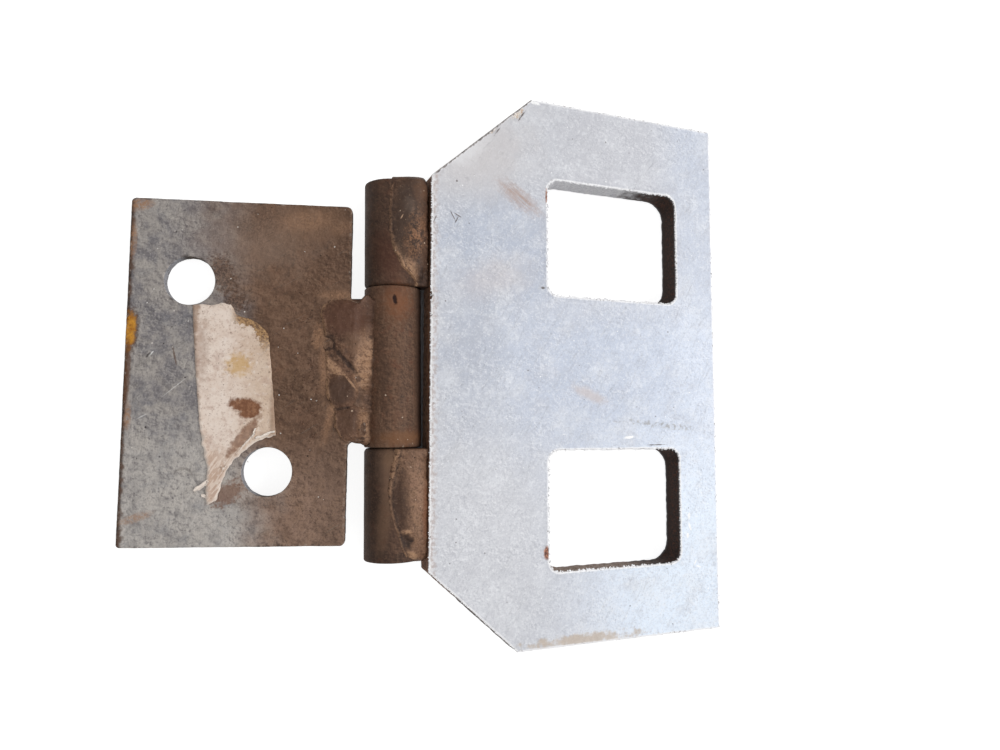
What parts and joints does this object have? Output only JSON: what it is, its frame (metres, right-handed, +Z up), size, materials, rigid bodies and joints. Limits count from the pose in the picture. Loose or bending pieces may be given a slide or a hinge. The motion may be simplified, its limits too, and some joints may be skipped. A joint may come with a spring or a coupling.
{
  "type": "hood hinge",
  "caption": "Weld-on hood hinge: thick plate with square windows and cut corners, thin bolted leaf, welded barrel with a through pin.",
  "frame": {"origin": "on the floor under the middle of the hinge's overall box, with the hinge lying as it comes to rest", "axes": "+Y along the hinge pin, +X towards the thick window plate, +Z up, out of the front faces"},
  "size_m": [0.1784, 0.1648, 0.0166],
  "materials": {
    "plated_steel": "pale zinc plating, scratched and nicked",
    "leaf_steel": "dark mill scale with brown stains and scratches",
    "barrel_steel": "dark brown oxide",
    "weld_bead": "rippled weld metal, brown oxide",
    "pin_steel": "dull turned steel, lightly rusted",
    "label_paper": "torn, stained paper, blank"
  },
  "bodies": {
    "plate_side": {"window_plate": "plated_steel", "upper_knuckle": "barrel_steel", "lower_knuckle": "barrel_steel", "hinge_pin": "pin_steel", "upper_front_weld": "weld_bead", "lower_front_weld": "weld_bead", "upper_back_weld": "weld_bead", "lower_back_weld": "weld_bead"},
    "leaf_side": {"bolt_leaf": "leaf_steel", "middle_knuckle": "barrel_steel", "leaf_front_weld": "weld_bead", "leaf_back_weld": "weld_bead", "label_remnant": "label_paper"}
  },
  "joints": [
    {"name": "hinge_swing", "type": "hinge", "parent": "plate_side", "child": "leaf_side", "pos_m": [-0.01799, 0, 0.008], "axis": [0, 1, 0], "range_deg": [-168, 103]}
  ]
}
